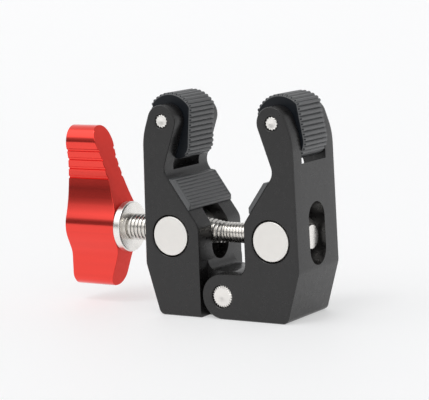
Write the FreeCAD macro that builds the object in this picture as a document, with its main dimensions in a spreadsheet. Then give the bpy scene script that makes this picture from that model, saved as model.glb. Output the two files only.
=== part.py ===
import FreeCAD, Part
import math
import os
import Sketcher

# A screw-closed clamp with two jaws hinged at the foot. X runs along the screw,
# from the red handle towards the fixed jaw, Y is the width and Z is up. The
# origin is the mouth of the small camera thread in the fixed jaw's foot.

SIZES = {
    # Jaws, measured from the hinge axis
    "jaw_width": 24.0,
    "knuckle_radius": 6.6,
    "socket_offset": 13.0,
    "tip_reach": 18.36,
    "tip_rise": 50.25,
    "tip_radius": 4.75,
    "tip_lean": 19.5,
    "knee_rise": 35.9,
    "knee_radius": 4.0,
    "vee_angle": 54.5,
    "fixed_wall": 8.1,
    "swing_wall": 7.1,
    "wall_blend": 4.0,
    "foot_blend": 3.0,
    "outer_reach": 24.95,
    "shoulder_blend": 20.0,
    "hip_reach": 25.7,
    "hip_rise": 8.3,
    "hip_blend": 4.0,
    "heel_reach": 21.4,
    "heel_radius": 2.0,
    "edge_bevel": 0.4,
    # Hinge
    "tongue_width": 14.4,
    "tongue_play": 0.15,
    "hinge_gap": 0.6,
    "ledge_rise": 9.5,
    "hinge_pin_radius": 3.35,
    "pin_recess": 0.3,
    "press_play": 0.01,
    "hole_bevel": 0.45,
    # Cross barrels and screw
    "barrel_reach": 16.8,
    "barrel_rise": 16.8,
    "barrel_radius": 6.0,
    "barrel_play": 0.08,
    "barrel_recess": 0.2,
    "coarse_radius": 4.0,
    "fine_radius": 3.0,
    "thread_play": 0.08,
    "coarse_end": 4.6,
    "slot_width": 9.2,
    "slot_height": 18.2,
    "slot_rise": 18.0,
    "collar_face": 37.8,
    "collar_radius": 7.6,
    "collar_length": 2.3,
    "collar_gap": 0.1,
    "shank_radius": 3.5,
    "shank_depth": 12.0,
    "shank_play": 0.05,
    "stop_gap": 0.2,
    "stop_radius": 3.55,
    "stop_length": 0.8,
    "stud_radius": 1.6,
    "stud_length": 6.0,
    # Handle, heights measured from the screw axis
    "handle_gap": 0.3,
    "handle_length": 17.7,
    "crown_top": 30.5,
    "crown_half": 4.6,
    "crown_blend": 4.5,
    "crown_foot": 25.4,
    "crown_ease": 5.0,
    "arm_half": 3.8,
    "arm_top": 21.0,
    "arm_ease": 10.0,
    "hub_top": 11.2,
    "hub_half": 7.15,
    "hub_peak": 1.5,
    "hub_under": -0.8,
    "hub_round": 1.6,
    "hub_blend": 48.0,
    "heel_top": 8.3,
    "heel_half": 4.05,
    "heel_blend": 5.0,
    "handle_foot": 18.4,
    "foot_round": 3.7,
    "face_top": 5.5,
    "face_foot": 6.0,
    "face_slant": 18.5,
    "groove_top": 23.2,
    "groove_pitch": 2.73,
    "groove_width": 0.9,
    "groove_depth": 0.45,
    "groove_count": 4,
    "head_radius": 3.5,
    "head_length": 3.0,
    "head_recess": 0.5,
    "head_play": 0.2,
    "cap_radius": 2.0,
    "cap_grip": 6.0,
    "key_width": 3.0,
    "key_depth": 1.6,
    # Swivelling tip pads
    "fork_width": 13.9,
    "fork_inner": 35.9,
    "fork_slope": 22.5,
    "tip_pin_radius": 2.0,
    "pad_width": 13.4,
    "pad_half": 6.9,
    "pad_crown": 8.4,
    "pad_drop": 0.55,
    "pad_foot": 11.2,
    "toe_round": 3.9,
    "heel_round": 5.3,
    "pad_shoulder": 1.6,
    "pad_bevel": 0.4,
    "pad_play": 0.06,
    "left_pad_tilt": 4.8,
    "right_pad_tilt": -10.3,
    "rib_pitch": 1.45,
    "rib_depth": 0.4,
    "rib_gap": 0.75,
    "rib_margin": 0.5,
    "crown_rib_step": 10.0,
    "crown_ribs": 9,
    "toe_ribs": 8,
    "heel_ribs": 6,
    "rib_top": 3.2,
    # Fixed pads on the sloping seats
    "vee_length": 10.8,
    "vee_inset": 0.3,
    "vee_height": 1.45,
    "vee_rise": 28.9,
    "vee_end": 0.9,
    "vee_side": 1.0,
    "vee_side_bevel": 0.6,
    "vee_rib_pitch": 1.15,
    "vee_rib_depth": 0.35,
    "vee_rib_gap": 0.6,
    "vee_ribs": 8,
    # Camera threads in the feet
    "small_thread_radius": 2.6,
    "small_thread_depth": 8.0,
    "large_thread_radius": 4.0,
    "large_thread_depth": 9.0,
    "large_thread_reach": 14.0,
}

FIXED = 1
SWINGING = -1
# How far a cut runs past the piece that it cuts
MARGIN = 5.0
# How near two lengths must be to count as the same
TINY = 1e-4
# How near an edge must pass to a corner to be that corner's edge
NEAR = 0.01

doc = FreeCAD.newDocument("clamp")
sheet = doc.addObject("Spreadsheet::Sheet", "Sizes")
for row, (name, length) in enumerate(SIZES.items(), start=1):
    sheet.set("A%d" % row, name)
    sheet.set("B%d" % row, str(length))
    sheet.setAlias("B%d" % row, name)
doc.recompute()


def size(expression):
    """Value of an expression in the sheet's sizes."""
    result = sheet.evalExpression(expression)
    return float(getattr(result, "Value", result))


def bind(item, path, expression):
    """Tie a property of an object to an expression in the sheet's sizes."""
    item.setExpression(path, in_sheet(expression))


def in_sheet(expression):
    """The same expression as seen from outside the sheet."""
    words = []
    word = ""
    for letter in expression + " ":
        if letter.isalnum() or letter == "_":
            word += letter
            continue
        words.append("Sizes." + word if word in SIZES else word)
        words.append(letter)
        word = ""
    return "".join(words).strip()


def origin_part(body, role):
    """One of a body's own planes or axes."""
    for item in body.Origin.OriginFeatures:
        if item.Role == role:
            return item
    raise ValueError(role)


def new_body(label):
    body = doc.addObject("PartDesign::Body", label)
    body.Label = label
    return body


def new_sketch(body, name, plane, shift=None):
    """A sketch on a plane of its body, moved along the plane's normal by shift."""
    sketch = body.newObject("Sketcher::SketchObject", name)
    sketch.AttachmentSupport = [(origin_part(body, plane), "")]
    sketch.MapMode = "FlatFace"
    if shift:
        bind(sketch, "AttachmentOffset.Base.z", shift)
    return sketch


def locate(sketch, edge, end, across, up):
    """Fix a point of a sketch by its two distances from the sketch's origin."""
    for kind, distance in (("DistanceX", across), ("DistanceY", up)):
        row = sketch.addConstraint(
            Sketcher.Constraint(kind, -1, 1, edge, end, size(distance)))
        bind(sketch, "Constraints[%d]" % row, distance)


def polygon(sketch, corners):
    """A closed outline through corners given as pairs of expressions."""
    points = [FreeCAD.Vector(size(x), size(y), 0) for x, y in corners]
    first = len(sketch.Geometry)
    count = len(points)
    for i in range(count):
        sketch.addGeometry(Part.LineSegment(points[i], points[(i + 1) % count]))
    for i in range(count):
        sketch.addConstraint(
            Sketcher.Constraint("Coincident", first + i, 2, first + (i + 1) % count, 1))
    for i, (x, y) in enumerate(corners):
        locate(sketch, first + i, 1, x, y)


def circle(sketch, across, up, radius):
    centre = FreeCAD.Vector(size(across), size(up), 0)
    upward = FreeCAD.Vector(0, 0, 1)
    edge = sketch.addGeometry(Part.Circle(centre, upward, size(radius)))
    locate(sketch, edge, 3, across, up)
    row = sketch.addConstraint(Sketcher.Constraint("Radius", edge, size(radius)))
    bind(sketch, "Constraints[%d]" % row, radius)


def feature(body, kind, name, sketch, length, both_ways=True, backwards=False):
    """A pad or a pocket of a sketch."""
    item = body.newObject("PartDesign::" + kind, name)
    item.Profile = sketch
    item.Refine = True
    bind(item, "Length", length)
    if both_ways:
        item.SideType = "Symmetric"
    item.Reversed = backwards
    doc.recompute()
    return item


def dress(body, kind, name, edges, width):
    """A fillet or chamfer on named edges or faces of the body's tip."""
    base = body.Tip
    item = body.newObject("PartDesign::" + kind, name)
    item.Base = (base, edges)
    bind(item, "Radius" if kind == "Fillet" else "Size", width)
    doc.recompute()
    return item


def cross_edges(body, across, up):
    """Names of the straight edges along the width that pass a point of the outline."""
    x, z = size(across), size(up)
    names = []
    for i, edge in enumerate(body.Tip.Shape.Edges, start=1):
        ends = [v.Point for v in edge.Vertexes]
        if len(ends) == 2 and all(abs(p.x - x) + abs(p.z - z) < NEAR for p in ends):
            names.append("Edge%d" % i)
    return names


def side_faces(body):
    """Names of the flat faces at both ends of a body's width."""
    names = []
    box = body.Tip.Shape.BoundBox
    for i, face in enumerate(body.Tip.Shape.Faces, start=1):
        span = face.BoundBox
        at_end = abs(span.YMin - box.YMin) < TINY or abs(span.YMax - box.YMax) < TINY
        if span.YLength < TINY and at_end:
            names.append("Face%d" % i)
    return names


def rims(body, radius, at_y):
    """Names of the round edges of a given radius at plus or minus a width."""
    names = []
    for i, edge in enumerate(body.Tip.Shape.Edges, start=1):
        curve = edge.Curve
        if curve.TypeId != "Part::GeomCircle":
            continue
        if abs(curve.Radius - radius) < TINY and abs(abs(curve.Center.y) - at_y) < TINY:
            names.append("Edge%d" % i)
    return names


# Points of the jaw outline, for the fixed jaw; the swinging jaw mirrors them.
TIP_INNER = ("tip_reach - tip_radius * cos(tip_lean)", "tip_rise - tip_radius * sin(tip_lean)")
TIP_OUTER = ("tip_reach + tip_radius * cos(tip_lean)", "tip_rise + tip_radius * sin(tip_lean)")
KNEE_REACH = "(%s + (%s - knee_rise) * tan(tip_lean))" % TIP_INNER
HINGE_CUT = "ledge_rise + knuckle_radius + %g" % MARGIN
SHOULDER_RISE = "(%s - (outer_reach - %s) / tan(tip_lean))" % (TIP_OUTER[1], "(%s)" % TIP_OUTER[0])


def vee_rise(wall):
    """Height where the sloping seat meets the inner wall."""
    return "(knee_rise - (%s - %s) * tan(vee_angle))" % (KNEE_REACH, wall)


def mirrored(side, across):
    return across if side == FIXED else "-(%s)" % across


def jaw_blank(body, side, wall):
    """The extruded section: sloping arm, knuckle and round tip, blended and bevelled."""
    corners = [
        ("0", "-knuckle_radius"),
        ("heel_reach", "-knuckle_radius"),
        ("hip_reach", "hip_rise"),
        ("outer_reach", SHOULDER_RISE),
        TIP_OUTER,
        TIP_INNER,
        (KNEE_REACH, "knee_rise"),
        (wall, vee_rise(wall)),
        (wall, "knuckle_radius"),
        ("0", "knuckle_radius"),
    ]
    outline = new_sketch(body, "outline", "XZ_Plane")
    polygon(outline, [(mirrored(side, x), z) for x, z in corners])
    feature(body, "Pad", "arm", outline, "jaw_width")
    rounds = new_sketch(body, "rounds", "XZ_Plane")
    circle(rounds, mirrored(side, "tip_reach"), "tip_rise", "tip_radius")
    feature(body, "Pad", "round_tip", rounds, "jaw_width")
    knuckle = new_sketch(body, "knuckle_round", "XZ_Plane")
    circle(knuckle, "0", "0", "knuckle_radius")
    feature(body, "Pad", "knuckle", knuckle, "jaw_width")
    blends = [
        ("shoulder", "outer_reach", SHOULDER_RISE, "shoulder_blend"),
        ("hip", "hip_reach", "hip_rise", "hip_blend"),
        ("heel", "heel_reach", "-knuckle_radius", "heel_radius"),
        ("knee", KNEE_REACH, "knee_rise", "knee_radius"),
        ("wall", wall, vee_rise(wall), "wall_blend"),
        ("foot", wall, "knuckle_radius", "foot_blend"),
    ]
    for name, x, z, radius in blends:
        dress(body, "Fillet", name + "_blend", cross_edges(body, mirrored(side, x), z), radius)
    dress(body, "Chamfer", "outline_bevel", side_faces(body), "edge_bevel")


def fork_slot(body, side):
    """The open slot between the two ears that hold a tip pad, with a sloping floor."""
    far = "(outer_reach + %g)" % MARGIN
    near = "(tip_reach - tip_radius - %g)" % MARGIN
    top = "(tip_rise + tip_radius + %g)" % MARGIN
    seat = KNEE_REACH
    corners = [
        (near, "fork_inner + (%s - %s) * tan(fork_slope)" % (near, seat)),
        (far, "fork_inner + (%s - %s) * tan(fork_slope)" % (far, seat)),
        (far, top),
        (near, top),
    ]
    sketch = new_sketch(body, "fork_section", "XZ_Plane")
    polygon(sketch, [(mirrored(side, x), z) for x, z in corners])
    feature(body, "Pocket", "fork", sketch, "fork_width")


def obround(sketch, across, low, high, half):
    """An upright outline with two round ends."""
    upward = FreeCAD.Vector(0, 0, 1)
    top = FreeCAD.Vector(size(across), size(high), 0)
    bottom = FreeCAD.Vector(size(across), size(low), 0)
    reach = FreeCAD.Vector(size(half), 0, 0)
    sketch.addGeometry(Part.ArcOfCircle(Part.Circle(top, upward, size(half)), 0, math.pi))
    sketch.addGeometry(Part.LineSegment(top - reach, bottom - reach))
    sketch.addGeometry(
        Part.ArcOfCircle(Part.Circle(bottom, upward, size(half)), math.pi, 2 * math.pi))
    sketch.addGeometry(Part.LineSegment(bottom + reach, top + reach))
    for edge in range(4):
        sketch.addConstraint(Sketcher.Constraint("Tangent", edge, 2, (edge + 1) % 4, 1))
    locate(sketch, 0, 3, across, high)
    locate(sketch, 2, 3, across, low)
    row = sketch.addConstraint(Sketcher.Constraint("Radius", 0, size(half)))
    bind(sketch, "Constraints[%d]" % row, half)


def screw_slot(body):
    """The upright slot with round ends that the screw passes and swings in."""
    sketch = new_sketch(body, "slot_section", "YZ_Plane")
    straight = "(slot_height - slot_width) / 2"
    obround(sketch, "0", "slot_rise - " + straight, "slot_rise + " + straight, "slot_width / 2")
    feature(body, "Pocket", "screw_slot", sketch, "2 * outer_reach + %g" % (2 * MARGIN))


def cross_hole(body, name, across, up, radius, bevelled=True):
    """A hole right through the width, bevelled at both mouths."""
    sketch = new_sketch(body, name + "_centre", "XZ_Plane")
    circle(sketch, across, up, radius)
    feature(body, "Pocket", name, sketch, "jaw_width + %g" % MARGIN)
    if bevelled:
        mouths = rims(body, size(radius), size("jaw_width / 2"))
        dress(body, "Chamfer", name + "_mouths", mouths, "hole_bevel")


def foot_socket(body, name, across, radius, depth):
    """A blind camera thread drilled up into the foot."""
    sketch = new_sketch(body, name + "_centre", "XY_Plane", "-knuckle_radius")
    circle(sketch, across, "0", radius)
    feature(body, "Pocket", name, sketch, depth, both_ways=False, backwards=True)


def place(body, across="0", up="0", tilt=None):
    """Put a body at a point measured from the hinge axis, turned about the width."""
    bind(body, "Placement.Base.x", "(%s) - socket_offset" % across)
    bind(body, "Placement.Base.z", "(%s) + knuckle_radius" % up)
    if tilt:
        body.Placement.Rotation = FreeCAD.Rotation(FreeCAD.Vector(0, 1, 0), size(tilt))
        bind(body, "Placement.Rotation.Angle", tilt)


def fixed_jaw():
    """The jaw with two ears at the hinge; its middle is milled out for the tongue."""
    body = new_body("right_jaw")
    jaw_blank(body, FIXED, "fixed_wall")
    sketch = new_sketch(body, "tongue_gap_section", "XY_Plane", "ledge_rise")
    half = "(tongue_width / 2 + tongue_play)"
    near = "-(knuckle_radius + %g)" % MARGIN
    wall = "(knuckle_radius + hinge_gap)"
    polygon(sketch, [(near, "-" + half), (wall, "-" + half), (wall, half), (near, half)])
    feature(body, "Pocket", "tongue_gap", sketch, HINGE_CUT, both_ways=False)
    fork_slot(body, FIXED)
    screw_slot(body)
    cross_hole(body, "barrel_hole", "barrel_reach", "barrel_rise", "barrel_radius + barrel_play")
    cross_hole(body, "hinge_hole", "0", "0", "hinge_pin_radius + press_play", bevelled=False)
    cross_hole(body, "tip_hole", "tip_reach", "tip_rise", "tip_pin_radius + press_play")
    foot_socket(body, "small_socket", "socket_offset", "small_thread_radius", "small_thread_depth")
    place(body)


def swinging_jaw():
    """The jaw with a middle tongue at the hinge; its sides are milled back for the ears."""
    body = new_body("left_jaw")
    jaw_blank(body, SWINGING, "swing_wall")
    for name, sign in (("front", "-"), ("back", "")):
        sketch = new_sketch(body, "ear_gap_%s_section" % name, "XY_Plane", "ledge_rise")
        inner = "%s(tongue_width / 2)" % sign
        outer = "%s(jaw_width / 2 + %g)" % (sign, MARGIN)
        wall = "-(knuckle_radius + hinge_gap)"
        far = "(knuckle_radius + %g)" % MARGIN
        polygon(sketch, [(wall, inner), (far, inner), (far, outer), (wall, outer)])
        feature(body, "Pocket", "ear_gap_" + name, sketch, HINGE_CUT, both_ways=False)
    fork_slot(body, SWINGING)
    screw_slot(body)
    cross_hole(body, "barrel_hole", "-barrel_reach", "barrel_rise", "barrel_radius + barrel_play")
    cross_hole(body, "tip_hole", "-tip_reach", "tip_rise", "tip_pin_radius + press_play")
    cross_hole(body, "hinge_bore", "0", "0", "hinge_pin_radius + thread_play", bevelled=False)
    foot_socket(body, "large_socket", "-large_thread_reach", "large_thread_radius", "large_thread_depth")
    place(body)


def cross_pin(label, across, up, radius):
    """A plain pin across a jaw, a little shorter than the jaw is wide."""
    body = new_body(label)
    sketch = new_sketch(body, "section", "XZ_Plane")
    circle(sketch, "0", "0", radius)
    feature(body, "Pad", "pin", sketch, "jaw_width - 2 * pin_recess")
    place(body, across, up)


def barrel(label, across, screw_radius):
    """A cross barrel that swivels in its jaw and takes the screw through its middle."""
    body = new_body(label)
    sketch = new_sketch(body, "section", "XZ_Plane")
    circle(sketch, "0", "0", "barrel_radius")
    feature(body, "Pad", "bar", sketch, "jaw_width - 2 * barrel_recess")
    bore = new_sketch(body, "bore_centre", "YZ_Plane")
    circle(bore, "0", "0", screw_radius + " + thread_play")
    feature(body, "Pocket", "bore", bore, "2 * barrel_radius + %g" % MARGIN)
    place(body, across, "barrel_rise")


def turned(label, corners):
    """A piece turned about the screw axis from half of its section."""
    body = new_body(label)
    sketch = new_sketch(body, "half_section", "XZ_Plane")
    polygon(sketch, corners)
    item = body.newObject("PartDesign::Revolution", "turned")
    item.Profile = sketch
    item.ReferenceAxis = (origin_part(body, "X_Axis"), [""])
    item.Angle = 360
    doc.recompute()
    place(body, "0", "barrel_rise")
    return body


HANDLE_FACE = "-(collar_face + collar_length + handle_gap)"
SHANK_END = "(%s - shank_depth)" % HANDLE_FACE
HANDLE_END = "(%s - handle_length)" % HANDLE_FACE
STOP_FACE = "(barrel_reach + barrel_radius + stop_gap)"


def screw():
    """The stepped screw: plain shank, coarse thread, then finer thread of the other hand."""
    shoulder = "-(collar_face - collar_gap)"
    turned("spindle", [
        (SHANK_END, "cap_radius"),
        (SHANK_END, "shank_radius"),
        (shoulder, "shank_radius"),
        (shoulder, "coarse_radius"),
        ("-coarse_end", "coarse_radius"),
        ("-coarse_end", "fine_radius"),
        (STOP_FACE, "fine_radius"),
        (STOP_FACE, "stud_radius"),
        ("%s - stud_length" % STOP_FACE, "stud_radius"),
        ("%s - stud_length" % STOP_FACE, "0"),
        ("%s + cap_grip" % SHANK_END, "0"),
        ("%s + cap_grip" % SHANK_END, "cap_radius"),
    ])


def collar():
    back = "-(collar_face + collar_length)"
    bore = "shank_radius + shank_play"
    turned("collar", [
        (back, bore),
        (back, "collar_radius"),
        ("-collar_face", "collar_radius"),
        ("-collar_face", bore),
    ])


def end_stop():
    """The flanged stop at the thin end, with a stud pressed into the screw."""
    outer = STOP_FACE + " + stop_length"
    turned("end_stop", [
        (STOP_FACE + " - stud_length", "0"),
        (STOP_FACE + " - stud_length", "stud_radius"),
        (STOP_FACE, "stud_radius"),
        (STOP_FACE, "stop_radius"),
        (outer, "stop_radius"),
        (outer, "0"),
    ])


def handle_screw():
    """The socket screw that holds the handle on the shank from its outer end."""
    top = HANDLE_END + " + head_recess"
    seat = top + " + head_length"
    body = turned("handle_screw", [
        (top, "0"),
        (top, "head_radius"),
        (seat, "head_radius"),
        (seat, "cap_radius"),
        (SHANK_END + " + cap_grip", "cap_radius"),
        (SHANK_END + " + cap_grip", "0"),
    ])
    sketch = new_sketch(body, "key_section", "YZ_Plane", top)
    half = "key_width / 2"
    reach = "key_width / sqrt(3)"
    polygon(sketch, [
        (reach, "0"), (reach + " / 2", half), ("-%s / 2" % reach, half),
        ("-" + reach, "0"), ("-%s / 2" % reach, "-" + half), (reach + " / 2", "-" + half),
    ])
    feature(body, "Pocket", "key", sketch, "2 * key_depth")


HANDLE_SIDE = [
    ("crown_half", "crown_top", "crown_blend"),
    ("crown_half", "crown_foot", "crown_ease"),
    ("arm_half", "arm_top", "arm_ease"),
    ("arm_half", "hub_top", "hub_blend"),
    ("hub_half", "hub_peak", "hub_round"),
    ("hub_half", "hub_under", "hub_round"),
    ("heel_half", "-heel_top", "heel_blend"),
    ("heel_half", "-handle_foot", "foot_round"),
]


def long_edges(body, half, up):
    """Names of the straight edges along the screw at plus or minus a depth."""
    y, z = size(half), size(up)
    names = []
    for i, edge in enumerate(body.Tip.Shape.Edges, start=1):
        ends = [v.Point for v in edge.Vertexes]
        if len(ends) == 2 and all(abs(abs(p.y) - y) + abs(p.z - z) < NEAR for p in ends):
            names.append("Edge%d" % i)
    return names


def handle_bar(body, middle):
    """The handle's section along the screw, blended at its corners."""
    sketch = new_sketch(body, "side_section", "YZ_Plane", middle)
    front_side = [(y, z) for y, z, blend in HANDLE_SIDE]
    back_side = [("-" + y, z) for y, z in reversed(front_side)]
    polygon(sketch, front_side + back_side)
    feature(body, "Pad", "bar", sketch, "handle_length")
    for corner, (half, up, radius) in enumerate(HANDLE_SIDE):
        dress(body, "Fillet", "blend_%d" % corner, long_edges(body, half, up), radius)


def handle_slopes(body):
    """The inner face sloped off above and below the screw."""
    for name, sign, start, end in (
        ("upper", "", "face_top", "(crown_top + %g)" % MARGIN),
        ("lower", "-", "face_foot", "(handle_foot + %g)" % MARGIN),
    ):
        slope = new_sketch(body, name + "_slope_section", "XZ_Plane")
        polygon(slope, [
            (HANDLE_FACE, sign + start),
            ("%s - (%s - %s) * tan(face_slant)" % (HANDLE_FACE, end, start), sign + end),
            ("%s + %g" % (HANDLE_FACE, MARGIN), sign + end),
            ("%s + %g" % (HANDLE_FACE, MARGIN), sign + start),
        ])
        feature(body, "Pocket", name + "_slope", slope, "2 * hub_half + %g" % MARGIN)


def handle_bores(body):
    """The bore for the shank, the seat for the screw's head and the hole between."""
    for name, mouth, radius, depth, inwards in (
        ("shank_hole", HANDLE_FACE, "shank_radius + press_play", "shank_depth", False),
        ("head_hole", HANDLE_END, "head_radius + head_play", "head_length + head_recess", True),
        ("cap_hole", HANDLE_END, "cap_radius + head_play", "handle_length", True),
    ):
        centre = new_sketch(body, name + "_centre", "YZ_Plane", mouth)
        circle(centre, "0", "0", radius)
        feature(body, "Pocket", name, centre, depth, both_ways=False, backwards=inwards)


def handle_grooves(body, middle):
    """The finger grooves across the front and the back of the long arm."""
    for name, sign in (("front", "-"), ("back", "")):
        notch = new_sketch(body, name + "_groove_section", "YZ_Plane", middle)
        floor = "%s(arm_half - groove_depth)" % sign
        mouth = "%s(arm_half + groove_depth)" % sign
        polygon(notch, notch_corners(floor, mouth, "groove_top", "groove_width"))
        groove = feature(body, "Pocket", name + "_groove", notch, "handle_length + %g" % MARGIN)
        repeat(body, name + "_groove_row", groove, "Z_Axis", "groove_pitch", "groove_count")


def handle():
    """The two-armed handle, with the bore for the screw's shank."""
    body = new_body("handle")
    middle = "(%s + %s) / 2" % (HANDLE_FACE, HANDLE_END)
    handle_bar(body, middle)
    handle_slopes(body)
    handle_bores(body)
    handle_grooves(body, middle)
    place(body, "0", "barrel_rise")


PAD_SHOULDER = "(sqrt(pad_crown * pad_crown - pad_half * pad_half) - pad_drop)"


def pad_section(body):
    """The pad seen from the side: flat flanks and foot under a domed top."""
    section = new_sketch(body, "section", "XZ_Plane")
    upward = FreeCAD.Vector(0, 0, 1)
    right, top, foot = size("pad_half"), size(PAD_SHOULDER), -size("pad_foot")
    start = math.atan2(top + size("pad_drop"), right)
    dome = Part.Circle(FreeCAD.Vector(0, -size("pad_drop"), 0), upward, size("pad_crown"))
    section.addGeometry(Part.ArcOfCircle(dome, start, math.pi - start))
    corners = [(-right, top), (-right, foot), (right, foot), (right, top)]
    for a, b in zip(corners, corners[1:]):
        section.addGeometry(Part.LineSegment(FreeCAD.Vector(*a, 0), FreeCAD.Vector(*b, 0)))
    for edge in range(4):
        section.addConstraint(Sketcher.Constraint("Coincident", edge, 2, (edge + 1) % 4, 1))
    locate(section, 2, 1, "-pad_half", "-pad_foot")
    locate(section, 2, 2, "pad_half", "-pad_foot")
    locate(section, 1, 1, "-pad_half", PAD_SHOULDER)
    locate(section, 0, 1, "pad_half", PAD_SHOULDER)
    row = section.addConstraint(Sketcher.Constraint("Radius", 0, size("pad_crown")))
    bind(section, "Constraints[%d]" % row, "pad_crown")
    return section


def notch_corners(floor, mouth, middle, width):
    """A groove that is three times as wide at its mouth as at its floor."""
    return [
        (floor, "%s + %s / 4" % (middle, width)), (mouth, "%s + 3 * %s / 4" % (middle, width)),
        (mouth, "%s - 3 * %s / 4" % (middle, width)), (floor, "%s - %s / 4" % (middle, width)),
    ]


def flank_ribs(body, name, across, ribs):
    """A row of grooves down one flank of a pad."""
    notch = new_sketch(body, name + "_rib_section", "XZ_Plane")
    floor = across.replace("pad_half", "(pad_half - rib_depth)")
    mouth = across.replace("pad_half", "(pad_half + rib_depth)")
    polygon(notch, notch_corners(floor, mouth, "rib_top", "rib_gap"))
    groove = feature(body, "Pocket", name + "_rib", notch, "pad_width - 2 * rib_margin")
    repeat(body, name + "_rib_row", groove, "Z_Axis", "rib_pitch", ribs)


def crown_ribs(body):
    """A fan of grooves over a pad's domed top."""
    notch = new_sketch(body, "crown_rib_section", "XZ_Plane")
    corners = notch_corners("pad_crown - rib_depth", "pad_crown + rib_depth", "0", "rib_gap")
    polygon(notch, [(across, up) for up, across in corners])
    notch.AttachmentOffset.Rotation = FreeCAD.Rotation(FreeCAD.Vector(0, 0, 1), 1)
    fan = "crown_rib_step * (crown_ribs - 1)"
    bind(notch, "AttachmentOffset.Base.y", "-pad_drop")
    bind(notch, "AttachmentOffset.Rotation.Angle", fan + " / 2")
    groove = feature(body, "Pocket", "crown_rib", notch, "pad_width - 2 * rib_margin")
    row = body.newObject("PartDesign::PolarPattern", "crown_rib_row")
    row.Originals = [groove]
    row.Axis = (notch, ["N_Axis"])
    row.Reversed = True
    bind(row, "Angle", fan)
    bind(row, "Occurrences", "crown_ribs")
    body.Tip = row
    doc.recompute()


def swivel_pad(label, side, tilt):
    """A rubber block on a tip pin: domed top, flat flanks, round toe and heel, ribbed."""
    body = new_body(label)
    feature(body, "Pad", "block", pad_section(body), "pad_width")
    toe, heel = ("-pad_half", "pad_half") if side == FIXED else ("pad_half", "-pad_half")
    for name, across, up, radius in [
        ("toe", toe, "-pad_foot", "toe_round"),
        ("heel", heel, "-pad_foot", "heel_round"),
        ("toe_shoulder", toe, PAD_SHOULDER, "pad_shoulder"),
        ("heel_shoulder", heel, PAD_SHOULDER, "pad_shoulder"),
    ]:
        dress(body, "Fillet", name + "_blend", cross_edges(body, across, up), radius)
    dress(body, "Chamfer", "face_bevel", side_faces(body), "pad_bevel")
    hole = new_sketch(body, "pin_centre", "XZ_Plane")
    circle(hole, "0", "0", "tip_pin_radius + pad_play")
    feature(body, "Pocket", "pin_hole", hole, "pad_width + %g" % MARGIN)
    flank_ribs(body, "toe", toe, "toe_ribs")
    flank_ribs(body, "heel", heel, "heel_ribs")
    crown_ribs(body)
    place(body, mirrored(side, "tip_reach"), "tip_rise", tilt)


def repeat(body, name, groove, axis, pitch, count, backwards=True):
    """A row of copies of a feature along one of the body's axes."""
    row = body.newObject("PartDesign::LinearPattern", name)
    row.Originals = [groove]
    row.Direction = (origin_part(body, axis), [""])
    row.Reversed = backwards
    bind(row, "Length", "%s * (%s - 1)" % (pitch, count))
    bind(row, "Occurrences", count)
    body.Tip = row
    doc.recompute()
    return row


def cross_top(body):
    """Names of the edges at both ends of the width that bound a body's top face."""
    names = []
    box = body.Tip.Shape.BoundBox
    for i, edge in enumerate(body.Tip.Shape.Edges, start=1):
        span = edge.BoundBox
        at_top = abs(span.ZMax - box.ZMax) < TINY
        if at_top and span.YLength < TINY and span.ZLength < TINY:
            names.append("Edge%d" % i)
    return names


def seat_pad(label, side):
    """A ribbed rubber pad on the sloping seat of a jaw."""
    body = new_body(label)
    section = new_sketch(body, "section", "XZ_Plane")
    half = "vee_length / 2"
    polygon(section, [
        ("-" + half, "0"), (half, "0"), (half, "vee_height - vee_end"),
        (half + " - vee_end", "vee_height"), ("vee_end - " + half, "vee_height"),
        ("-" + half, "vee_height - vee_end"),
    ])
    feature(body, "Pad", "sheet", section, "jaw_width - 2 * vee_inset")
    dress(body, "Chamfer", "side_bevel", cross_top(body), "vee_side_bevel")
    notch = new_sketch(body, "rib_section", "XZ_Plane")
    first = "-(vee_rib_pitch * (vee_ribs - 1) / 2)"
    floor = "vee_height - vee_rib_depth"
    mouth = "vee_height + vee_rib_depth"
    corners = notch_corners(floor, mouth, first, "vee_rib_gap")
    polygon(notch, [(across, up) for up, across in corners])
    groove = feature(body, "Pocket", "rib", notch, "jaw_width - 2 * vee_inset - 2 * vee_side")
    repeat(body, "rib_row", groove, "X_Axis", "vee_rib_pitch", "vee_ribs", backwards=False)
    place(body, mirrored(side, "(%s - (knee_rise - vee_rise) / tan(vee_angle))" % KNEE_REACH),
          "vee_rise", "-vee_angle" if side == FIXED else "vee_angle")


fixed_jaw()
swinging_jaw()
cross_pin("hinge_pin", "0", "0", "hinge_pin_radius")
cross_pin("right_tip_pin", "tip_reach", "tip_rise", "tip_pin_radius")
cross_pin("left_tip_pin", "-tip_reach", "tip_rise", "tip_pin_radius")
barrel("right_barrel", "barrel_reach", "fine_radius")
barrel("left_barrel", "-barrel_reach", "coarse_radius")
screw()
collar()
end_stop()
handle_screw()
handle()
swivel_pad("right_tip_pad", FIXED, "right_pad_tilt")
swivel_pad("left_tip_pad", SWINGING, "left_pad_tilt")
seat_pad("right_vee_pad", FIXED)
seat_pad("left_vee_pad", SWINGING)

doc.recompute()
for item in doc.Objects:
    if "Invalid" in item.State or "Error" in item.State:
        raise RuntimeError("%s failed" % item.Label)
os.makedirs("parts", exist_ok=True)
for item in doc.Objects:
    if item.TypeId == "PartDesign::Body":
        if item.Shape.isNull() or not item.Shape.isValid():
            raise RuntimeError("%s has no valid shape" % item.Label)
        item.Shape.exportStep("parts/%s.step" % item.Label)
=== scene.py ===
import math

import bpy
from bpy.props import FloatProperty, FloatVectorProperty, IntProperty, PointerProperty
from mathutils import Matrix, Vector


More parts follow.
